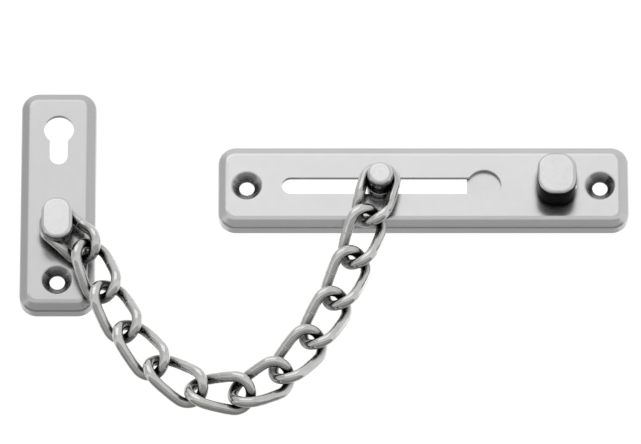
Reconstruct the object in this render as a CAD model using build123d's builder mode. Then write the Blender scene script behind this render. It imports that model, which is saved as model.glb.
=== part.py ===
from build123d import *

import os
from math import atan2, cos, radians, sin, sqrt, tan

os.makedirs("parts", exist_ok=True)

# A door chain guard: an anchor plate for the frame, a track plate for the door, and a curb chain between them.
# Lengths are millimetres and angles are degrees.
# +X runs along the track, +Z up the door, and the guard stands out from the wall at Y = 0 towards -Y.
# The origin is the middle of the anchor plate, on the wall.

# Pressed plates
sheet = 1.5
plate_depth = 5.5
bevel_width = 2.5
bevel_height = 1.5
plate_corner = 5.2
crease_round = 2.5
rim_round = 1.1

# Countersunk screw holes
screw_hole = 4.5
countersink = 8.8
countersink_angle = 90.0
dimple_lip = 0.8
dimple_wall = 0.9
dimple_round = 0.7

# Anchor plate and its parking keyhole
anchor_width = 22.0
anchor_height = 69.0
keyhole_diameter = 8.8
keyhole_slot = 5.3
keyhole_edge = 12.0
keyhole_drop = 8.5
anchor_screw_edge = 9.3

# Post that holds the chain on the anchor plate
post_edge = 25.1
post_shank = 4.0
post_head_width = 9.0
post_head_height = 13.0
post_head_thickness = 3.0
post_head_corner = 4.2
post_head_round = 1.1
post_tail_diameter = 6.4
post_tail_thickness = 1.0
collar_diameter = 7.4
collar_round = 0.4

# Track plate
track_length = 120.0
track_height = 25.5
plate_gap = 35.7
track_rise = 4.55
track_screw_edge = 8.4
slot_width = 5.2
slot_edge = 21.2
entry_diameter = 10.2
entry_edge = 42.3
slot_mouth_round = 1.0

# Stud that runs in the slot
stud_edge = 47.3
stud_button_diameter = 7.4
stud_button_thickness = 2.0
stud_slot_neck = 4.6
stud_collar_diameter = 8.0
stud_link_neck = 4.0
stud_stem = 2.6
stud_cap_diameter = 7.6
stud_cap_thickness = 3.2
stud_cap_round = 1.2
stud_edge_round = 0.3
button_gap = 0.15
collar_gap = 0.1

# Chain
link_count = 12
link_wire = 3.1
link_width = 12.4
link_end_width = 11.4
link_pitch = 14.0
link_twist = 45.0
link_gap = 0.8
neck_gap = 0.3
bow_share = 0.97
knee_reach = 1.2
belly_reach = 2.0
knee_radius = 8.0
chain_plane = 10.0
neck_room = 0.5
first_link_angle = -42.0
bottom_slack = 1.2
bottom_lift = 0.7
hang_first_step = 0.4
hang_rounds = 40

# Latch that closes the entry hole
button_pass_gap = 0.2
knob_width = 11.3
knob_height = 13.0
knob_depth = 9.5
knob_draft = 0.2
knob_corner = 4.6
knob_round = 1.0
knob_edge = 21.2
knob_gap = 0.1
rivet_shank = 3.0
rivet_depth_in_knob = 6.0
rivet_edge = 0.6
rivet_head_diameter = 5.4
rivet_head_thickness = 1.0
rivet_head_round = 0.4
latch_slot_width = 3.4
blocker_thickness = 1.5
blocker_gap = 0.1
blocker_guide_gap = 0.3
blocker_overlap = 0.1
blocker_dimple_gap = 0.35
blocker_corner = 1.0
washer_thickness = 0.3
washer_bow = 0.5
washer_bore_gap = 0.2

# Levels, as distances out from the wall
wall = Plane.XZ
sheet_back = plate_depth - sheet
neck_back = chain_plane - link_wire / 2 - neck_room
neck_front = chain_plane + link_wire / 2 + neck_room
stud_button_front = sheet_back - button_gap
stud_button_back = stud_button_front - stud_button_thickness
stud_collar_back = plate_depth + collar_gap
blocker_front = sheet_back - blocker_gap
blocker_back = blocker_front - blocker_thickness
washer_back = blocker_back - washer_thickness - washer_bow
knob_back = plate_depth + knob_gap

# The cavity behind the sheet follows the outer form one sheet thickness inside it
bevel_turn = atan2(bevel_width, bevel_height)
plate_rim = plate_depth - bevel_height
cavity_rim = plate_rim - sheet * tan(bevel_turn / 2)
cavity_bevel_height = sheet_back - cavity_rim
cavity_bevel_width = cavity_bevel_height * bevel_width / bevel_height
cavity_face_height = track_height - 2 * (sheet + cavity_bevel_width)

# Places down the anchor plate
keyhole_rise = anchor_height / 2 - keyhole_edge
anchor_screw_drop = anchor_height / 2 - anchor_screw_edge
post_drop = anchor_height / 2 - post_edge

# Places along the track
track_start = anchor_width / 2 + plate_gap
track_end = track_start + track_length
track_across = (track_start + track_end) / 2
slot_end_centre = track_start + slot_edge
entry_centre = track_end - entry_edge
stud_across = track_start + stud_edge
blocker_edge = entry_centre - entry_diameter / 2 + blocker_overlap
knob_centre = track_end - knob_edge
rivet_centre = knob_centre - knob_width / 2 + knob_draft + rivet_edge + rivet_shank / 2
latch_travel = stud_button_diameter + button_pass_gap
track_screws = [
    (track_start + track_screw_edge, track_rise),
    (track_end - track_screw_edge, track_rise),
]
dimple_back_radius = countersink / 2 + dimple_wall
blocker_end = track_screws[-1][0] - dimple_back_radius - blocker_dimple_gap - latch_travel

# Sizes of the countersunk dimples
countersink_depth = (countersink - screw_hole) / 2 / tan(radians(countersink_angle / 2))
dimple_depth = countersink_depth + dimple_lip - sheet


def plate_form(middle, width, height, corner, rim, bevel_run, bevel_rise):
    """A rounded block that stands out from the wall and narrows through a bevel to its front face."""
    with BuildPart() as form:
        with BuildSketch(wall):
            with Locations(middle):
                RectangleRounded(width, height, corner)
        extrude(amount=rim)
        with BuildSketch(wall.offset(rim)):
            with Locations(middle):
                RectangleRounded(width, height, corner)
        with BuildSketch(wall.offset(rim + bevel_rise)):
            with Locations(middle):
                RectangleRounded(width - 2 * bevel_run, height - 2 * bevel_run, corner - bevel_run)
        loft(ruled=True)
    return form.part


def pressed_plate(middle, width, height):
    """A plate pressed from sheet: a bevelled front with soft creases, and an open hollow back."""
    cavity = plate_form(
        middle,
        width - 2 * sheet,
        height - 2 * sheet,
        plate_corner - sheet,
        cavity_rim,
        cavity_bevel_width,
        cavity_bevel_height,
    )
    with BuildPart() as plate:
        add(plate_form(middle, width, height, plate_corner, plate_rim, bevel_width, bevel_height))
        fillet(plate.edges().filter_by_position(Axis.Y, -plate_rim, -plate_rim), rim_round)
        fillet(plate.edges().group_by(Axis.Y)[0], crease_round)
        add(cavity, mode=Mode.SUBTRACT)
    return plate.part


def front_of(across, rise, depth):
    """A plane at a place on the guard, facing out from the wall."""
    return Plane(origin=(across, -depth, rise), x_dir=(1, 0, 0), z_dir=(0, -1, 0))


def back_of(across, rise, depth):
    """A plane at a place on the guard, facing the wall."""
    return Plane(origin=(across, -depth, rise), x_dir=(1, 0, 0), z_dir=(0, 1, 0))


def screw_dimple(across, rise):
    """Presses a countersunk screw hole into the plate that is being made."""
    with Locations(back_of(across, rise, sheet_back)):
        Cone(
            dimple_back_radius,
            screw_hole / 2 + dimple_wall,
            dimple_depth,
            align=(Align.CENTER, Align.CENTER, Align.MIN),
        )
    with Locations(front_of(across, rise, plate_depth)):
        CounterSinkHole(screw_hole / 2, countersink / 2, plate_depth, countersink_angle)


def dimple_rims(plate, across, rise):
    """The edges where a screw dimple meets the plate's face."""
    spot = Vector(across, -plate_depth, rise)
    rims = plate.edges().filter_by(GeomType.CIRCLE).filter_by_position(Axis.Y, -plate_depth, -plate_depth)
    return rims.filter_by(lambda edge: (edge.arc_center - spot).length < screw_hole / 2)


# Anchor plate
anchor_form = pressed_plate((0, 0), anchor_width, anchor_height)

with BuildPart() as anchor_plate:
    add(anchor_form)
    screw_dimple(0, -anchor_screw_drop)
    fillet(dimple_rims(anchor_plate, 0, -anchor_screw_drop), dimple_round)
    with BuildSketch(wall):
        with Locations((0, keyhole_rise)):
            Circle(keyhole_diameter / 2)
        with Locations((0, keyhole_rise - keyhole_drop / 2)):
            SlotCenterToCenter(keyhole_drop, keyhole_slot, rotation=90)
        with Locations((0, -post_drop)):
            Circle(post_shank / 2)
    extrude(amount=plate_depth, mode=Mode.SUBTRACT)
anchor_plate.part.label = "anchor_plate"
export_step(anchor_plate.part, "parts/anchor_plate.step")

# Headed post, riveted through the anchor plate
with BuildPart() as anchor_post:
    with BuildSketch(wall.offset(neck_front)):
        with Locations((0, -post_drop)):
            RectangleRounded(post_head_width, post_head_height, post_head_corner)
    extrude(amount=post_head_thickness)
    fillet(anchor_post.edges().group_by(Axis.Y)[0], post_head_round)
    with BuildSketch(wall.offset(sheet_back)):
        with Locations((0, -post_drop)):
            Circle(post_shank / 2)
    extrude(amount=neck_front - sheet_back)
    with BuildSketch(wall.offset(sheet_back)):
        with Locations((0, -post_drop)):
            Circle(post_tail_diameter / 2)
    extrude(amount=-post_tail_thickness)
    fillet(anchor_post.edges().group_by(Axis.Y)[-1], collar_round)
anchor_post.part.label = "anchor_post"
export_step(anchor_post.part, "parts/anchor_post.step")

# Spacer ring that keeps the first link off the anchor plate
with BuildPart() as anchor_collar:
    with BuildSketch(wall.offset(plate_depth)):
        with Locations((0, -post_drop)):
            Circle(collar_diameter / 2)
            Circle(post_shank / 2, mode=Mode.SUBTRACT)
    extrude(amount=neck_back - plate_depth)
    fillet(anchor_collar.edges().group_by(Axis.Y)[0].sort_by(SortBy.RADIUS)[-1], collar_round)
anchor_collar.part.label = "anchor_collar"
export_step(anchor_collar.part, "parts/anchor_collar.step")

# Track plate
track_form = pressed_plate((track_across, track_rise), track_length, track_height)

with BuildPart() as track_plate:
    add(track_form)
    for across, rise in track_screws:
        screw_dimple(across, rise)
        fillet(dimple_rims(track_plate, across, rise), dimple_round)
    with BuildSketch(wall) as slot:
        with Locations(((slot_end_centre + entry_centre) / 2, track_rise)):
            SlotCenterToCenter(entry_centre - slot_end_centre, slot_width)
        with Locations((entry_centre, track_rise)):
            Circle(entry_diameter / 2)
        mouth = slot.vertices().filter_by(
            lambda corner: abs(corner.X - entry_centre) < entry_diameter / 2
        )
        fillet(mouth.sort_by(Axis.X)[:2], slot_mouth_round)
        with Locations((rivet_centre + latch_travel / 2, track_rise)):
            SlotCenterToCenter(latch_travel, latch_slot_width)
    extrude(amount=plate_depth, mode=Mode.SUBTRACT)
track_plate.part.label = "track_plate"
export_step(track_plate.part, "parts/track_plate.step")

# Turned stud: a button behind the slot, a collar in front of it and a neck for the last link
with BuildPart() as slide_stud:
    with BuildSketch(Plane(origin=(stud_across, 0, track_rise), x_dir=(1, 0, 0), z_dir=(0, 0, 1))):
        with BuildLine():
            Polyline(
                (0, -stud_button_back),
                (stud_button_diameter / 2, -stud_button_back),
                (stud_button_diameter / 2, -stud_button_front),
                (stud_slot_neck / 2, -stud_button_front),
                (stud_slot_neck / 2, -stud_collar_back),
                (stud_collar_diameter / 2, -stud_collar_back),
                (stud_collar_diameter / 2, -neck_back),
                (stud_link_neck / 2, -neck_back),
                (stud_link_neck / 2, -neck_front),
                (stud_stem / 2, -neck_front),
                (stud_stem / 2, -(neck_front + stud_cap_thickness)),
                (0, -(neck_front + stud_cap_thickness)),
                close=True,
            )
        make_face()
    revolve(axis=Axis((stud_across, 0, track_rise), (0, 1, 0)))
    turned_rims = slide_stud.edges().filter_by(GeomType.CIRCLE).filter_by(
        lambda edge: edge.radius > stud_slot_neck / 2 + stud_edge_round
    )
    fillet(turned_rims, stud_edge_round)
slide_stud.part.label = "slide_stud"
export_step(slide_stud.part, "parts/slide_stud.step")

# Cap riveted on the stud's stem, which keeps the last link on
with BuildPart() as stud_cap:
    with BuildSketch(wall.offset(neck_front)):
        with Locations((stud_across, track_rise)):
            Circle(stud_cap_diameter / 2)
    extrude(amount=stud_cap_thickness)
    fillet(stud_cap.edges().group_by(Axis.Y)[0], stud_cap_round)
    with BuildSketch(wall.offset(neck_front)):
        with Locations((stud_across, track_rise)):
            Circle(stud_stem / 2)
    extrude(amount=stud_cap_thickness, mode=Mode.SUBTRACT)
stud_cap.part.label = "stud_cap"
export_step(stud_cap.part, "parts/stud_cap.step")

# Chain links
link_half = (link_pitch + link_wire + link_gap) / 2
leg_offset = (link_width - link_wire) / 2
end_offset = (link_end_width - link_wire) / 2
leg_lift = end_offset * tan(radians(link_twist))
belly_lift = leg_lift * belly_reach / link_half
neck_radius = max(post_shank, stud_link_neck) / 2
end_reach = link_half - link_wire / 2 - neck_radius - neck_gap


def bow_radius(leg_point, corner, far_corner):
    """The largest bend at a link's corner that still leaves a trace of straight wire across the bow."""
    leg = Vector(*corner) - Vector(*leg_point)
    across = Vector(*far_corner) - Vector(*corner)
    return bow_share * across.length / 2 / tan(radians(leg.get_angle(across) / 2))


def bent_wire(points, radii):
    """Round wire along straight runs joined by bends."""
    with BuildPart() as wire:
        with BuildLine() as path:
            FilletPolyline(*points, radius=radii)
        with BuildSketch(Plane(origin=path.wire() @ 0, z_dir=path.wire() % 0)):
            Circle(link_wire / 2)
        sweep(path=path.wire())
    return wire.part


def half_link(leg_point, corner, knees=()):
    """Half of a link about its long axis: a leg, a bow and the leg on the other side.

    The long axis is local X, and the half is its own image turned half round that axis.
    """
    leg_side = [leg_point, *knees, corner]
    other_side = [(x, -y, -z) for x, y, z in reversed(leg_side)]
    bend = bow_radius(leg_side[-2], corner, other_side[0])
    knee_bends = [knee_radius] * len(knees)
    return bent_wire(leg_side + other_side, [*knee_bends, bend, bend, *knee_bends])


# A curb link bellies out in the middle and is twisted one way at one end and the other way at the other
belly = (0, leg_offset, 0)
curb_halves = [
    half_link(
        belly,
        (side * link_half, end_offset, side * leg_lift),
        [(side * belly_reach, leg_offset, side * belly_lift)],
    )
    for side in (1, -1)
]

# An end link is flat where it goes round its neck and twisted where it meets the chain
flat_leg = (-knee_reach, leg_offset, 0)
end_halves = [
    half_link(flat_leg, (-link_half, leg_offset, 0)),
    half_link(flat_leg, (link_half, end_offset, leg_lift), [(knee_reach, leg_offset, 0)]),
]


def hanging_slopes(run, rise, reaches):
    """The slope of each link of a chain that hangs between two ends.

    The slope of a hanging chain grows by the same step from link to link, so two numbers
    describe it: its slope at the middle and that step. They are found by Newton's method.
    """
    places = [number - (len(reaches) - 1) / 2 for number in range(len(reaches))]
    middle = rise / run
    step = hang_first_step
    for _ in range(hang_rounds):
        slopes = [middle + step * place for place in places]
        scale = [sqrt(1 + slope * slope) for slope in slopes]
        run_error = sum(r / s for r, s in zip(reaches, scale)) - run
        rise_error = sum(r * t / s for r, t, s in zip(reaches, slopes, scale)) - rise
        run_rates = [-r * t / s**3 for r, t, s in zip(reaches, slopes, scale)]
        rise_rates = [r / s**3 for r, s in zip(reaches, scale)]
        run_by_step = sum(rate * place for rate, place in zip(run_rates, places))
        rise_by_step = sum(rate * place for rate, place in zip(rise_rates, places))
        spread = sum(run_rates) * rise_by_step - sum(rise_rates) * run_by_step
        middle -= (run_error * rise_by_step - rise_error * run_by_step) / spread
        step -= (rise_error * sum(run_rates) - run_error * sum(rise_rates)) / spread
    return [middle + step * place for place in places]


# The first link is tight on its post and keeps its own angle, and the others hang from it
# The chain is slack by a little at its lowest pair of links, so that it can follow the stud
inner_reaches = [link_pitch] * (link_count - 2)
end_link_reach = end_reach + link_pitch / 2
reaches = [end_link_reach, *inner_reaches, end_link_reach]
first_angle = radians(first_link_angle)
slopes = hanging_slopes(
    stud_across + bottom_slack - end_link_reach * cos(first_angle),
    track_rise + post_drop + bottom_lift - end_link_reach * sin(first_angle),
    reaches[1:],
)
link_angles = [first_angle, *(atan2(slope, 1) for slope in slopes)]
falling = [angle for angle in link_angles if angle < 0]

# Link centres, walked from the post down to the lowest pair and from the stud down to it
centres = {}
angles = {}
joint = Vector(0, -chain_plane, -post_drop)
for number in range(1, len(falling) + 1):
    angles[number] = link_angles[number - 1]
    along = Vector(cos(angles[number]), 0, sin(angles[number]))
    centres[number] = joint + along * (end_reach if number == 1 else link_pitch / 2)
    joint = centres[number] + along * link_pitch / 2

joint = Vector(stud_across, -chain_plane, track_rise)
for number in range(link_count, len(falling), -1):
    angles[number] = link_angles[number - 1]
    along = Vector(cos(angles[number]), 0, sin(angles[number]))
    centres[number] = joint - along * (end_reach if number == link_count else link_pitch / 2)
    joint = centres[number] - along * link_pitch / 2

for number in range(1, link_count + 1):
    is_end = number in (1, link_count)
    facing = -1 if number == link_count else 1
    along = Vector(cos(angles[number]), 0, sin(angles[number])) * facing
    with BuildPart() as chain_link:
        with Locations(Plane(origin=centres[number], x_dir=along, z_dir=(0, -1, 0))):
            for half in end_halves if is_end else curb_halves:
                add(half)
    link_name = f"chain_link_{number:02d}"
    chain_link.part.label = link_name
    export_step(chain_link.part, f"parts/{link_name}.step")

# Thumb knob of the latch
with BuildPart() as latch_knob:
    with BuildSketch(wall.offset(knob_back)):
        with Locations((knob_centre, track_rise)):
            RectangleRounded(
                knob_width - 2 * knob_draft, knob_height - 2 * knob_draft, knob_corner - knob_draft
            )
    with BuildSketch(wall.offset(knob_back + knob_depth)):
        with Locations((knob_centre, track_rise)):
            RectangleRounded(knob_width, knob_height, knob_corner)
    loft(ruled=True)
    fillet(latch_knob.edges().group_by(Axis.Y)[0], knob_round)
    with BuildSketch(wall.offset(knob_back)):
        with Locations((rivet_centre, track_rise)):
            Circle(rivet_shank / 2)
    extrude(amount=rivet_depth_in_knob, mode=Mode.SUBTRACT)
latch_knob.part.label = "latch_knob"
export_step(latch_knob.part, "parts/latch_knob.step")

# Blocker that slides behind the sheet and closes the entry hole
blocker_middle = ((blocker_edge + blocker_end) / 2, track_rise)

with BuildPart() as latch_blocker:
    with BuildSketch(wall.offset(blocker_back)):
        with Locations(blocker_middle):
            RectangleRounded(
                blocker_end - blocker_edge, cavity_face_height - 2 * blocker_guide_gap, blocker_corner
            )
        with Locations((rivet_centre, track_rise)):
            Circle(rivet_shank / 2, mode=Mode.SUBTRACT)
    extrude(amount=blocker_thickness)
latch_blocker.part.label = "latch_blocker"
export_step(latch_blocker.part, "parts/latch_blocker.step")

# Rivet that joins the knob and the blocker through the sheet
with BuildPart() as latch_rivet:
    with BuildSketch(wall.offset(washer_back)):
        with Locations((rivet_centre, track_rise)):
            Circle(rivet_shank / 2)
    extrude(amount=knob_back + rivet_depth_in_knob - washer_back)
    with BuildSketch(wall.offset(washer_back)):
        with Locations((rivet_centre, track_rise)):
            Circle(rivet_head_diameter / 2)
    extrude(amount=-rivet_head_thickness)
    fillet(latch_rivet.edges().group_by(Axis.Y)[-1], rivet_head_round)
latch_rivet.part.label = "latch_rivet"
export_step(latch_rivet.part, "parts/latch_rivet.step")

# Bowed spring washer under the rivet's head, which gives the latch its drag
washer_half = rivet_head_diameter / 2
washer_side = Plane(origin=(rivet_centre, 0, track_rise), x_dir=(1, 0, 0), z_dir=(0, 0, 1))

with BuildPart() as latch_spring_washer:
    with BuildSketch(washer_side):
        with BuildLine():
            ThreePointArc(
                (-washer_half, -washer_back - washer_bow),
                (0, -washer_back),
                (washer_half, -washer_back - washer_bow),
            )
            Line(
                (washer_half, -washer_back - washer_bow),
                (washer_half, -washer_back - washer_bow - washer_thickness),
            )
            ThreePointArc(
                (washer_half, -washer_back - washer_bow - washer_thickness),
                (0, -washer_back - washer_thickness),
                (-washer_half, -washer_back - washer_bow - washer_thickness),
            )
            Line(
                (-washer_half, -washer_back - washer_bow - washer_thickness),
                (-washer_half, -washer_back - washer_bow),
            )
        make_face()
    extrude(amount=washer_half, both=True)
    with BuildSketch(wall.offset(washer_back)):
        with Locations((rivet_centre, track_rise)):
            Circle(washer_half)
            Circle(rivet_shank / 2 + washer_bore_gap, mode=Mode.SUBTRACT)
    extrude(amount=blocker_back - washer_back, mode=Mode.INTERSECT)
latch_spring_washer.part.label = "latch_spring_washer"
export_step(latch_spring_washer.part, "parts/latch_spring_washer.step")
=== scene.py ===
"""Looks of a surface-mounted door chain guard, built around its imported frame."""
import logging
import math
from dataclasses import dataclass, replace
from enum import Enum

import bmesh
import bpy
import numpy as np
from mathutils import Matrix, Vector


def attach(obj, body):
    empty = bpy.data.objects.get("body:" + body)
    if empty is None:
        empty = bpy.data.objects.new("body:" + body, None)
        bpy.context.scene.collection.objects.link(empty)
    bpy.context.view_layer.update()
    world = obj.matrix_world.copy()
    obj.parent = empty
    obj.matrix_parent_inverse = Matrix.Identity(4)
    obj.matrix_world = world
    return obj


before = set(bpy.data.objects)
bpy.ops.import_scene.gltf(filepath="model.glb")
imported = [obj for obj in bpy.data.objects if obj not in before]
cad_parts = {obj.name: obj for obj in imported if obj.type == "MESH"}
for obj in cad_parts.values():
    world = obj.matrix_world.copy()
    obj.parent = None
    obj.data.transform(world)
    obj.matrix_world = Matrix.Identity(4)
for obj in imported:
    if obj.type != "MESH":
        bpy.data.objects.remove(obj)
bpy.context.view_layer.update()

MM = 0.001
MICRON = 1e-6

Socket = bpy.types.NodeSocket
Pieces = list[bpy.types.Object]
Pair = tuple[float, float]
Levels = tuple[Pair, ...]
Point = tuple[float, float, float]
Shade = tuple[float, float, float]

log = logging.getLogger("door_guard")


class Axis(Enum):
    """The guard's axes: along the track, towards the wall and up the door."""

    TRACK = "X"
    WALL = "Y"
    UP = "Z"


class Grain(Enum):
    """How fine polishing lines run over a finish, as noise scales along X, Y and Z per metre."""

    ALONG_TRACK = (80.0, 1800.0, 1800.0)
    UP_THE_PLATE = (1800.0, 1800.0, 80.0)
    EVEN = (1500.0, 1500.0, 1500.0)


class Easing(Enum):
    """How a value goes from one level to the next."""

    STRAIGHT = "LINEAR"
    SOFT = "SMOOTHSTEP"


class Maths(Enum):
    """What is done with values."""

    ADD = "ADD"
    MULTIPLY = "MULTIPLY"
    DROP_SIGN = "ABSOLUTE"


def grey(level: float) -> tuple[float, float, float, float]:
    """Gives an opaque grey."""
    return (level, level, level, 1.0)


class Graph:
    """A material's or world's node tree, filled by short calls.

    Attributes:
        noise_middle: Where most of a noise lies, between 0 and 1.
    """

    noise_middle: Pair = (0.3, 0.7)

    def __init__(self, tree: bpy.types.NodeTree) -> None:
        """Clears the tree.

        Args:
            tree: The node tree to fill.
        """
        self.tree = tree
        tree.nodes.clear()

    def add(self, kind: str, **settings: object) -> bpy.types.Node:
        """Adds a node.

        Args:
            kind: The node's type.
            settings: Attributes of the node.

        Returns:
            The new node.
        """
        node = self.tree.nodes.new(kind)
        for name, value in settings.items():
            setattr(node, name, value)
        return node

    def link(self, source: Socket, target: Socket) -> None:
        """Joins an output to an input."""
        self.tree.links.new(source, target)

    def noise(self, where: Socket, scale: float, detail: float) -> Socket:
        """Adds a noise texture.

        Args:
            where: The coordinates it is read at.
            scale: Its scale per metre.
            detail: Its octaves.

        Returns:
            The noise value, from 0 to 1.
        """
        node = self.add("ShaderNodeTexNoise")
        node.inputs["Scale"].default_value = scale
        node.inputs["Detail"].default_value = detail
        self.link(where, node.inputs["Vector"])
        return node.outputs["Fac"]

    def ramp(self, value: Socket, between: Pair, levels: Pair, easing: Easing = Easing.SOFT) -> Socket:
        """Goes from one level to another.

        Args:
            value: What decides.
            between: Where the change begins and ends.
            levels: The result before and after it.
            easing: How it goes from the one to the other.

        Returns:
            The level.
        """
        node = self.add("ShaderNodeMapRange", clamp=True, interpolation_type=easing.value)
        node.inputs["From Min"].default_value, node.inputs["From Max"].default_value = between
        node.inputs["To Min"].default_value, node.inputs["To Max"].default_value = levels
        self.link(value, node.inputs["Value"])
        return node.outputs["Result"]

    def spread(self, noise: Socket, levels: Pair) -> Socket:
        """Maps the middle of a noise onto a range."""
        return self.ramp(noise, self.noise_middle, levels, Easing.STRAIGHT)

    def steps(self, value: Socket, levels: Levels) -> Socket:
        """Reads a value off a row of levels.

        Args:
            value: What decides, from 0 to 1.
            levels: Places and the grey at each, in order.

        Returns:
            The grey between the two nearest places.
        """
        node = self.add("ShaderNodeValToRGB")
        row = node.color_ramp.elements
        # New places start halfway and are then put where they belong.
        while len(row) < len(levels):
            row.new(0.5)
        for element, (place, level) in zip(row, levels):
            element.position = place
            element.color = grey(level)
        self.link(value, node.inputs["Fac"])
        return node.outputs["Color"]

    def work_out(self, rule: Maths, *values: Socket | float) -> Socket:
        """Works out a value from others.

        Args:
            rule: What is done with them.
            values: Sockets, or numbers that stay the same all over.

        Returns:
            The result.
        """
        node = self.add("ShaderNodeMath", operation=rule.value)
        for target, value in zip(node.inputs, values):
            if isinstance(value, Socket):
                self.link(value, target)
            else:
                target.default_value = value
        return node.outputs["Value"]

    def along(self, direction: Socket, axis: Axis) -> Socket:
        """Finds how far a direction points along an axis.

        Args:
            direction: The direction, of length 1.
            axis: The axis.

        Returns:
            A value from -1, against the axis, to 1, along it.
        """
        parts = self.add("ShaderNodeSeparateXYZ")
        self.link(direction, parts.inputs["Vector"])
        return parts.outputs[axis.value]

    def facing(self, axis: Axis) -> Socket:
        """Finds how far a surface faces along an axis, from -1 to 1."""
        return self.along(self.add("ShaderNodeNewGeometry").outputs["Normal"], axis)

    def shaded(self, colour: Socket, where: Socket, share: float) -> Socket:
        """Darkens a colour in places, to paint shade there.

        Args:
            colour: The colour.
            where: A value that is 1 where it is dark.
            share: What is left of the colour there.

        Returns:
            The colour with its dark places.
        """
        node = self.add("ShaderNodeMix", data_type="RGBA", blend_type="MULTIPLY")
        node.inputs["B"].default_value = grey(share)
        self.link(where, node.inputs["Factor"])
        self.link(colour, node.inputs["A"])
        return node.outputs["Result"]


@dataclass(frozen=True)
class RecessShade:
    """Painted shade: a darker tone in recesses, along close joins, under heads and between parts, where
    shade falls.

    Attributes:
        share: What is left of the colour in the depth of a recess.
        reach: How far away a wall still counts, in metres.
        shelter: How open a place is where the tone is full and where it ends.
        front_only: Whether it is only on the piece's front, with no regard to the neighbours.
        front_turn: How far a surface faces the wall where a front's tone begins to fade and where it ends.
        samples: How many directions are tried for a wall.
    """

    share: float
    reach: float
    shelter: Pair = (0.35, 0.92)
    front_only: bool = False
    front_turn: Pair = (0.05, 0.35)
    samples: int = 6

    def depth(self, graph: Graph) -> Socket:
        """Finds the recesses, where shade is painted.

        Args:
            graph: The material's nodes.

        Returns:
            A value that is 0 in the open and rises towards 1 in a recess.
        """
        open_air = graph.add("ShaderNodeAmbientOcclusion", samples=self.samples, only_local=self.front_only)
        open_air.inputs["Distance"].default_value = self.reach
        depth = graph.ramp(open_air.outputs["AO"], self.shelter, (1.0, 0.0))
        if self.front_only:
            front = graph.ramp(graph.facing(Axis.WALL), self.front_turn, (1.0, 0.0))
            depth = graph.work_out(Maths.MULTIPLY, depth, front)
        return depth


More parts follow.
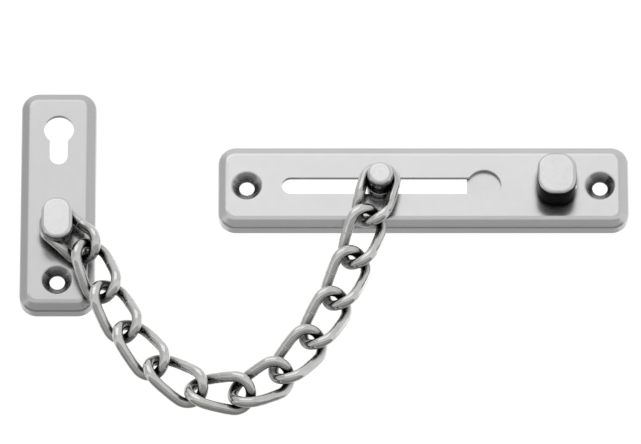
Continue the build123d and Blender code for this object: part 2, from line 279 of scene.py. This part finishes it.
@dataclass(frozen=True)
class PlatedFinish:
    """A plated metal: a clouded tint, uneven gloss, polishing lines, edges worn brighter, and painted shade
    in its recesses and on its lower flanks.

    Attributes:
        name: The material's name.
        light: The plating's colour where it is clean.
        dull: Its colour where it is hazy.
        gloss: The roughness of the polished and of the hazy patches.
        edge_gloss: How much smoother a worn edge is.
        grain: How the polishing lines run.
        grain_depth: The depth of the lines, in metres.
        cloud: The scale of the haze, per metre.
        recesses: The painted shade of its recesses.
        flank: What is left of the colour on a lower flank, where shade is painted.
        grazing: The grey of what it mirrors at a grazing angle.
        haze_mix: The share of the clean colour in the thickest and in the thinnest haze.
        haze_detail: The octaves of the haze.
        patch_scale: How many times finer than the haze the patches of gloss are.
        patch_detail: The octaves of the patches.
        line_detail: The octaves of the polishing lines.
        edge_radius: The width of a worn edge, in metres.
        edge_turn: How true a surface is to its rounded form where wear begins and where it is full.
        edge_samples: How many places round an edge are tried.
        flank_turn: How far a surface faces the wall or the room where a flank is full and where it ends.
        upward_turn: How far a surface faces up where a lower flank is full and where it ends.
    """

    name: str
    light: Shade
    dull: Shade
    gloss: Pair
    edge_gloss: float
    grain: Grain
    grain_depth: float
    cloud: float
    recesses: tuple[RecessShade, ...] = ()
    flank: float = 1.0
    grazing: float = 1.0
    haze_mix: Pair = (0.15, 0.85)
    haze_detail: float = 3.0
    patch_scale: float = 6.0
    patch_detail: float = 4.0
    line_detail: float = 2.0
    edge_radius: float = 0.5 * MM
    edge_turn: Pair = (0.995, 0.86)
    edge_samples: int = 4
    flank_turn: Pair = (0.35, 0.75)
    upward_turn: Pair = (-0.2, 0.6)

    def dress(self, nodes: tuple[str, ...]) -> Pieces:
        """Puts the finish on pieces of the guard.

        Args:
            nodes: The pieces' names.

        Returns:
            The dressed pieces.
        """
        material = self.material()
        pieces = [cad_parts[name] for name in nodes]
        for piece in pieces:
            piece.data.materials.clear()
            piece.data.materials.append(material)
        return pieces

    def material(self) -> bpy.types.Material:
        """Makes the material.

        Returns:
            A material whose nodes give colour, roughness and bump.
        """
        made = bpy.data.materials.new(self.name)
        made.use_nodes = True
        graph = Graph(made.node_tree)
        output = graph.add("ShaderNodeOutputMaterial")
        shader = graph.add("ShaderNodeBsdfPrincipled")
        shader.inputs["Metallic"].default_value = 1.0
        shader.inputs["Specular Tint"].default_value = grey(self.grazing)
        where = graph.add("ShaderNodeTexCoord").outputs["Object"]
        edge = self.worn_edge(graph)
        graph.link(self.colour(graph, where, edge), shader.inputs["Base Color"])
        graph.link(self.roughness(graph, where, edge), shader.inputs["Roughness"])
        graph.link(self.lines(graph, where), shader.inputs["Normal"])
        graph.link(shader.outputs["BSDF"], output.inputs["Surface"])
        return made

    def colour(self, graph: Graph, where: Socket, edge: Socket) -> Socket:
        """Mixes the clouded tint and paints shade into its recesses and onto its lower flanks.

        Args:
            graph: The material's nodes.
            where: The coordinates of a place.
            edge: How near it is to a worn edge.

        Returns:
            The colour.
        """
        haze = graph.noise(where, self.cloud, self.haze_detail)
        tint = graph.add("ShaderNodeMix", data_type="RGBA")
        tint.inputs["A"].default_value = (*self.dull, 1.0)
        tint.inputs["B"].default_value = (*self.light, 1.0)
        clean = graph.work_out(Maths.ADD, graph.spread(haze, self.haze_mix), edge)
        graph.link(clean, tint.inputs["Factor"])
        colour = tint.outputs["Result"]
        # Painted shade in the recesses.
        for recess in self.recesses:
            colour = graph.shaded(colour, recess.depth(graph), recess.share)
        # Painted shade on the lower flanks.
        if self.flank < 1.0:
            colour = graph.shaded(colour, self.underside_shade(graph), self.flank)
        return colour

    def roughness(self, graph: Graph, where: Socket, edge: Socket) -> Socket:
        """Gives patches of gloss and smoother edges.

        Args:
            graph: The material's nodes.
            where: The coordinates of a place.
            edge: How near it is to a worn edge.

        Returns:
            The roughness.
        """
        patches = graph.noise(where, self.patch_scale * self.cloud, self.patch_detail)
        smoother = graph.work_out(Maths.MULTIPLY, edge, -self.edge_gloss)
        return graph.work_out(Maths.ADD, graph.spread(patches, self.gloss), smoother)

    def lines(self, graph: Graph, where: Socket) -> Socket:
        """Draws the polishing lines as fine relief.

        Args:
            graph: The material's nodes.
            where: The coordinates of a place.

        Returns:
            The normal of the lined surface.
        """
        stretch = graph.add("ShaderNodeMapping", vector_type="POINT")
        stretch.inputs["Scale"].default_value = self.grain.value
        graph.link(where, stretch.inputs["Vector"])
        height = graph.noise(stretch.outputs["Vector"], 1.0, self.line_detail)
        bump = graph.add("ShaderNodeBump")
        bump.inputs["Strength"].default_value = 1.0
        bump.inputs["Distance"].default_value = self.grain_depth
        graph.link(height, bump.inputs["Height"])
        return bump.outputs["Normal"]

    def underside_shade(self, graph: Graph) -> Socket:
        """Finds the flanks that don't face up, where shade is painted.

        Args:
            graph: The material's nodes.

        Returns:
            A value that is 0 on faces and upper flanks and 1 on lower flanks.
        """
        flatness = graph.work_out(Maths.DROP_SIGN, graph.facing(Axis.WALL))
        flank = graph.ramp(flatness, self.flank_turn, (1.0, 0.0))
        lower = graph.ramp(graph.facing(Axis.UP), self.upward_turn, (1.0, 0.0))
        return graph.work_out(Maths.MULTIPLY, flank, lower)

    def worn_edge(self, graph: Graph) -> Socket:
        """Finds the edges that handling polishes.

        Args:
            graph: The material's nodes.

        Returns:
            A value that is 0 on flats and rises towards 1 at edges.
        """
        rounded = graph.add("ShaderNodeBevel", samples=self.edge_samples)
        rounded.inputs["Radius"].default_value = self.edge_radius
        surface = graph.add("ShaderNodeNewGeometry")
        trueness = graph.add("ShaderNodeVectorMath", operation="DOT_PRODUCT")
        graph.link(rounded.outputs["Normal"], trueness.inputs[0])
        graph.link(surface.outputs["Normal"], trueness.inputs[1])
        return graph.ramp(trueness.outputs["Value"], self.edge_turn, (0.0, 1.0), Easing.STRAIGHT)


# Painted shade in the sunk screw holes, along close joins, under the heads and under the knob.
SUNK_HOLE_SHADE = RecessShade(share=0.03, reach=6.0 * MM, shelter=(0.80, 0.985), front_only=True)
CLOSE_JOIN_SHADE = RecessShade(share=0.15, reach=1.6 * MM, shelter=(0.45, 0.96))
UNDER_HEAD_SHADE = RecessShade(share=0.40, reach=5.0 * MM)
UNDER_KNOB_SHADE = RecessShade(share=0.50, reach=5.0 * MM)
# Painted shade between the links, where they touch.
BETWEEN_LINKS_SHADE = RecessShade(share=0.06, reach=9.0 * MM, shelter=(0.36, 0.94))

SATIN_TRACK = PlatedFinish(
    name="satin_chrome_track",
    light=(0.80, 0.80, 0.80),
    dull=(0.765, 0.765, 0.765),
    gloss=(0.215, 0.245),
    edge_gloss=0.03,
    grain=Grain.ALONG_TRACK,
    grain_depth=0.6 * MICRON,
    cloud=60.0,
    recesses=(SUNK_HOLE_SHADE, CLOSE_JOIN_SHADE),
)
SATIN_ANCHOR = replace(
    SATIN_TRACK,
    name="satin_chrome_anchor",
    light=(0.70, 0.70, 0.70),
    dull=(0.665, 0.665, 0.665),
    grain=Grain.UP_THE_PLATE,
)
POLISHED_HEAD = PlatedFinish(
    name="polished_chrome_head",
    light=(0.82, 0.82, 0.82),
    dull=(0.78, 0.78, 0.78),
    gloss=(0.17, 0.22),
    edge_gloss=0.03,
    grain=Grain.EVEN,
    grain_depth=0.4 * MICRON,
    cloud=180.0,
    recesses=(UNDER_HEAD_SHADE,),
    # Painted shade on the heads' lower flanks.
    flank=0.30,
)
SATIN_KNOB = PlatedFinish(
    name="satin_chrome_knob",
    light=(0.82, 0.82, 0.82),
    dull=(0.785, 0.785, 0.785),
    gloss=(0.20, 0.25),
    edge_gloss=0.04,
    grain=Grain.UP_THE_PLATE,
    grain_depth=0.5 * MICRON,
    cloud=140.0,
    recesses=(UNDER_KNOB_SHADE,),
    # Painted shade, near black, on the knob's lower flanks.
    flank=0.03,
    grazing=0.45,
)
BRIGHT_CHAIN = PlatedFinish(
    name="bright_nickel_chain",
    light=(0.90, 0.895, 0.885),
    dull=(0.72, 0.715, 0.705),
    gloss=(0.08, 0.17),
    edge_gloss=0.02,
    grain=Grain.EVEN,
    grain_depth=0.8 * MICRON,
    cloud=240.0,
    recesses=(BETWEEN_LINKS_SHADE,),
)
SEAM_SCALE = PlatedFinish(
    name="nickel_seam",
    light=(0.70, 0.69, 0.68),
    dull=(0.52, 0.51, 0.50),
    gloss=(0.20, 0.34),
    edge_gloss=0.02,
    grain=Grain.EVEN,
    grain_depth=1.2 * MICRON,
    cloud=500.0,
)
ZINC_INNER = PlatedFinish(
    name="zinc_plated_steel",
    light=(0.80, 0.80, 0.805),
    dull=(0.75, 0.75, 0.755),
    gloss=(0.225, 0.26),
    edge_gloss=0.04,
    grain=Grain.EVEN,
    grain_depth=0.8 * MICRON,
    cloud=180.0,
)


@dataclass
class Plates:
    """The anchor plate with its post, and the track plate.

    Attributes:
        anchor: The anchor plate.
        track: The track plate.
        post: The post that holds the first link, and the collar round it.
    """

    anchor: tuple[str, ...] = ("anchor_plate",)
    track: tuple[str, ...] = ("track_plate",)
    post: tuple[str, ...] = ("anchor_post", "anchor_collar")

    def build(self) -> Pieces:
        """Dresses the plates and the post.

        Returns:
            The dressed pieces.
        """
        plates = SATIN_ANCHOR.dress(self.anchor) + SATIN_TRACK.dress(self.track)
        post = POLISHED_HEAD.dress(self.post)
        return plates + post


@dataclass
class SlideStud:
    """The stud that runs in the slot.

    Attributes:
        nodes: The stud, and the cap that keeps the last link on it.
    """

    nodes: tuple[str, ...] = ("slide_stud", "stud_cap")

    def build(self) -> Pieces:
        """Dresses the stud and returns its pieces."""
        return POLISHED_HEAD.dress(self.nodes)


@dataclass(frozen=True)
class Wire:
    """A short stretch of a link's wire.

    Attributes:
        centre: Its middle.
        along: Which way it runs.
        radius: Its radius.
    """

    centre: Vector
    along: Vector
    radius: float


@dataclass
class CurbChain:
    """The chain of twisted links, each closed by a butt seam in the middle of one leg.

    Attributes:
        prefix: How the links' names begin.
        slot: The material slot of the seams; not used.
        seam_width: The width of the seam along the wire.
        seam_height: How far the seam stands out of the wire.
        seam_root: How far the seam's edges reach into the wire.
        seam_step: Half the length of leg that shows which way it runs.
        round_steps: The seam's points round the wire.
        along_steps: The seam's steps along the wire.
    """

    prefix: str = "chain_link_"
    slot: str = "chain"
    seam_width: float = 0.6 * MM
    seam_height: float = 0.06 * MM
    seam_root: float = 0.08 * MM
    seam_step: float = 0.5 * MM
    round_steps: int = 40
    along_steps: int = 8

    def build(self) -> Pieces:
        """Dresses every link and closes it with its seam.

        Returns:
            The links and their seams.
        """
        names = tuple(sorted(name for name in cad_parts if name.startswith(self.prefix)))
        links = BRIGHT_CHAIN.dress(names)
        scale = SEAM_SCALE.material()
        seams = []
        for name, link in zip(names, links):
            number = name.removeprefix(self.prefix)
            seam = self.bead(f"link_seam_{number}", self.upper_leg(link.data))
            seam.data.materials.append(scale)
            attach(seam, f"link_{number}")
            seams.append(seam)
        return links + seams

    def upper_leg(self, link: bpy.types.Mesh) -> Wire:
        """Finds the middle of a link's upper leg.

        Args:
            link: The link's mesh.

        Returns:
            The wire there.
        """
        points = np.array([vertex.co for vertex in link.vertices])
        middle = Vector((points.min(axis=0) + points.max(axis=0)) / 2)
        axes = np.linalg.svd(points - points.mean(axis=0), full_matrices=False)[2]
        along = Vector(axes[0])
        across = Vector(axes[1])
        if across.z < 0.0:
            across.negate()
        before, start = self.leg_cut(link, middle - along * self.seam_step, along, across)
        after, end = self.leg_cut(link, middle + along * self.seam_step, along, across)
        return Wire((before + after) / 2, (after - before).normalized(), (start + end) / 2)

    def leg_cut(
        self, link: bpy.types.Mesh, place: Vector, along: Vector, across: Vector
    ) -> tuple[Vector, float]:
        """Cuts a link across and measures the upper leg there.

        Args:
            link: The link's mesh.
            place: A point of the cut.
            along: The link's long axis.
            across: From the lower leg towards the upper one.

        Returns:
            The middle of the leg and its radius.
        """
        copy = bmesh.new()
        copy.from_mesh(link)
        everything = copy.verts[:] + copy.edges[:] + copy.faces[:]
        cut = bmesh.ops.bisect_plane(copy, geom=everything, plane_co=place, plane_no=along)["geom_cut"]
        ring = [part.co.copy() for part in cut if isinstance(part, bmesh.types.BMVert)]
        copy.free()
        leg = [point for point in ring if (point - place).dot(across) > 0.0]
        low = Vector(map(min, zip(*leg)))
        high = Vector(map(max, zip(*leg)))
        centre = (low + high) / 2
        radius = min((point - centre).length for point in leg)
        return centre, radius

    def bead(self, name: str, wire: Wire) -> bpy.types.Object:
        """Builds a low bead round a wire.

        Args:
            name: The piece's name.
            wire: What it goes round.

        Returns:
            The bead, a closed ring whose inner side lies in the wire.
        """
        side = wire.along.orthogonal().normalized()
        up = wire.along.cross(side)
        turns = [math.tau * step / self.round_steps for step in range(self.round_steps)]
        bead = bmesh.new()
        rings = []
        for row in range(self.along_steps + 1):
            share = row / self.along_steps
            lift = (self.seam_height + self.seam_root) * math.sin(math.pi * share) - self.seam_root
            middle = wire.centre + wire.along * (share - 0.5) * self.seam_width
            rings.append([
                bead.verts.new(middle + (side * math.cos(turn) + up * math.sin(turn)) * (wire.radius + lift))
                for turn in turns
            ])
        for lower, upper in zip(rings, rings[1:] + rings[:1]):
            for step in range(self.round_steps):
                beyond = (step + 1) % self.round_steps
                face = bead.faces.new((lower[step], lower[beyond], upper[beyond], upper[step]))
                face.smooth = True
        bmesh.ops.recalc_face_normals(bead, faces=bead.faces[:])
        mesh = bpy.data.meshes.new(name)
        bead.to_mesh(mesh)
        bead.free()
        piece = bpy.data.objects.new(name, mesh)
        bpy.context.scene.collection.objects.link(piece)
        return piece


@dataclass
class Latch:
    """The latch that closes the entry hole.

    Attributes:
        knob: The thumb knob.
        inner: What it moves behind the sheet.
    """

    knob: tuple[str, ...] = ("latch_knob",)
    inner: tuple[str, ...] = ("latch_blocker", "latch_rivet", "latch_spring_washer")

    def build(self) -> Pieces:
        """Dresses the knob and the inner pieces, and returns them."""
        return SATIN_KNOB.dress(self.knob) + ZINC_INNER.dress(self.inner)


@dataclass(frozen=True)
class ViewPoint:
    """The camera, below the guard and looking up at it.

    Attributes:
        aim: The point in the middle of the picture.
        distance: From the camera to that point.
        tilt: How far it looks up, in degrees.
        lens: The focal length on a sensor of the width below, in millimetres.
        sensor: The sensor's width, in millimetres.
        nearest: How near a thing can be and still be seen.
    """

    aim: Point = (0.07661, 0.00322, -0.00328)
    distance: float = 2.5
    tilt: float = 23.0
    lens: float = 479.7
    sensor: float = 36.0
    nearest: float = 0.01

    def place(self) -> None:
        """Makes the scene's camera."""
        data = bpy.data.cameras.new("camera")
        data.sensor_fit = "HORIZONTAL"
        data.sensor_width = self.sensor
        data.lens = self.lens
        data.clip_start = self.nearest
        camera = bpy.data.objects.new("camera", data)
        bpy.context.scene.collection.objects.link(camera)
        turn = math.radians(self.tilt)
        forward = Vector((0.0, math.cos(turn), math.sin(turn)))
        camera.location = Vector(self.aim) - forward * self.distance
        camera.rotation_euler = (math.pi / 2 + turn, 0.0, 0.0)
        bpy.context.scene.camera = camera


@dataclass(frozen=True)
class SoftBox:
    """A rectangular studio lamp.

    Attributes:
        name: The lamp's name.
        place: Where it stands.
        aim: The point it faces.
        size: Its width and height.
        power: Its power in watts.
    """

    name: str
    place: Point
    aim: Point
    size: Pair
    power: float

    def light(self) -> None:
        """Adds the lamp to the scene."""
        data = bpy.data.lights.new(self.name, "AREA")
        data.shape = "RECTANGLE"
        data.size, data.size_y = self.size
        data.energy = self.power
        lamp = bpy.data.objects.new(self.name, data)
        lamp.location = self.place
        look = Vector(self.aim) - Vector(self.place)
        lamp.rotation_euler = look.to_track_quat("-Z", "Y").to_euler()
        bpy.context.scene.collection.objects.link(lamp)


@dataclass(frozen=True)
class LightTent:
    """The white tent round the set, as brightness by height and by side.

    Attributes:
        front: Brightness on the camera's side, by the height of the direction.
        back: Brightness behind the guard, by the height of the direction.
        left: By how much it is multiplied on the anchor plate's side.
        right: By how much it is multiplied on the track plate's side.
        back_turn: How far a direction points at the wall where the front ends and where the back is full.
        left_turn: How far it points along the track where the left side is full and where it ends.
        right_turn: How far it points along the track where the right side begins and where it is full.
    """

    front: Levels = ((0.0, 0.66), (0.2, 0.62), (0.65, 0.62), (1.0, 0.70))
    back: Levels = ((0.0, 0.66), (0.08, 0.74), (0.28, 1.05), (0.6, 1.05), (1.0, 0.70))
    left: float = 0.78
    right: float = 1.05
    back_turn: Pair = (-0.15, 0.35)
    left_turn: Pair = (-0.80, -0.40)
    right_turn: Pair = (0.40, 0.80)

    def hang(self) -> None:
        """Makes the world."""
        world = bpy.data.worlds.new("light_tent")
        world.use_nodes = True
        bpy.context.scene.world = world
        graph = Graph(world.node_tree)
        output = graph.add("ShaderNodeOutputWorld")
        background = graph.add("ShaderNodeBackground")
        background.inputs["Color"].default_value = grey(1.0)
        graph.link(background.outputs["Background"], output.inputs["Surface"])

        direction = graph.add("ShaderNodeTexCoord").outputs["Generated"]
        depth = graph.along(direction, Axis.WALL)
        height = graph.along(direction, Axis.UP)
        ends = graph.add("ShaderNodeMix", data_type="FLOAT")
        graph.link(graph.ramp(depth, self.back_turn, (0.0, 1.0)), ends.inputs["Factor"])
        graph.link(graph.steps(height, self.front), ends.inputs["A"])
        graph.link(graph.steps(height, self.back), ends.inputs["B"])

        across = graph.along(direction, Axis.TRACK)
        left = graph.ramp(across, self.left_turn, (self.left, 1.0))
        right = graph.ramp(across, self.right_turn, (1.0, self.right))
        sides = graph.work_out(Maths.MULTIPLY, left, right)
        level = graph.work_out(Maths.MULTIPLY, ends.outputs["Result"], sides)
        graph.link(level, background.inputs["Strength"])


@dataclass(frozen=True)
class Card:
    """A level matt card on the set.

    Attributes:
        name: The card's name.
        reach: Half of its width.
        depth: Where it begins and ends, from the wall.
        level: Its height.
        shade: Its grey.
        seen: Whether it is in the picture, or only mirrored and out of the light's way.
        roughness: How matt it is.
        shine: How much of a plain surface's gloss it has.
    """

    name: str
    reach: float
    depth: Pair
    level: float
    shade: float
    seen: bool = False
    roughness: float = 0.9
    shine: float = 0.1

    def lay(self) -> None:
        near, far = self.depth
        outline = ((-self.reach, near), (self.reach, near), (self.reach, far), (-self.reach, far))
        corners = [(x, y, self.level) for x, y in outline]
        mesh = bpy.data.meshes.new(self.name)
        mesh.from_pydata(corners, [], [tuple(range(len(corners)))])
        card = bpy.data.objects.new(self.name, mesh)
        bpy.context.scene.collection.objects.link(card)
        card.visible_camera = self.seen
        card.visible_shadow = self.seen
        card.visible_diffuse = self.seen
        material = bpy.data.materials.new(self.name)
        material.use_nodes = True
        shader = material.node_tree.nodes["Principled BSDF"]
        shader.inputs["Base Color"].default_value = grey(self.shade)
        shader.inputs["Roughness"].default_value = self.roughness
        shader.inputs["Specular IOR Level"].default_value = self.shine
        mesh.materials.append(material)


@dataclass
class Studio:
    """The set: a pale floor well below the guard, the tent, a lamp and grey cards for the undersides.

    Attributes:
        floor_level: The floor's height, below the camera.
        floor_reach: Half of the floor's side.
        floor_shade: The floor's grey.
        card_level: The height of the cards, between the guard and the floor.
        card_reach: Half of the cards' width.
        cards: Each card's name, where it begins and ends, and its grey.
        key: The lamp.
    """

    floor_level: float = -1.15
    floor_reach: float = 12.0
    floor_shade: float = 0.90
    card_level: float = -0.5
    card_reach: float = 1.1
    cards: tuple[tuple[str, Pair, float], ...] = (
        ("near_card", (-1.05, -0.15), 0.46),
        ("low_card", (-0.15, 0.55), 0.27),
        ("rear_card", (0.55, 1.80), 0.50),
    )
    key: SoftBox = SoftBox("key", (-0.3, -1.3, 1.1), aim=(0.08, 0.0, -0.01), size=(1.6, 1.2), power=2.5)

    def build(self) -> None:
        """Sets up the whole studio."""
        bpy.context.scene.view_settings.view_transform = "Standard"
        LightTent().hang()
        floor_depth = (-self.floor_reach, self.floor_reach)
        Card("floor", self.floor_reach, floor_depth, self.floor_level, self.floor_shade, seen=True).lay()
        for name, depth, shade in self.cards:
            Card(name, self.card_reach, depth, self.card_level, shade).lay()
        self.key.light()


def main() -> None:
    """Dresses the guard and sets up the studio."""
    logging.basicConfig(level=logging.INFO, format="%(name)s: %(message)s")
    for assembly in (Plates(), SlideStud(), CurbChain(), Latch()):
        for piece in assembly.build():
            log.info("%s wears %s", piece.name, piece.data.materials[0].name)
    ViewPoint().place()
    Studio().build()


if __name__ == "__main__":
    main()
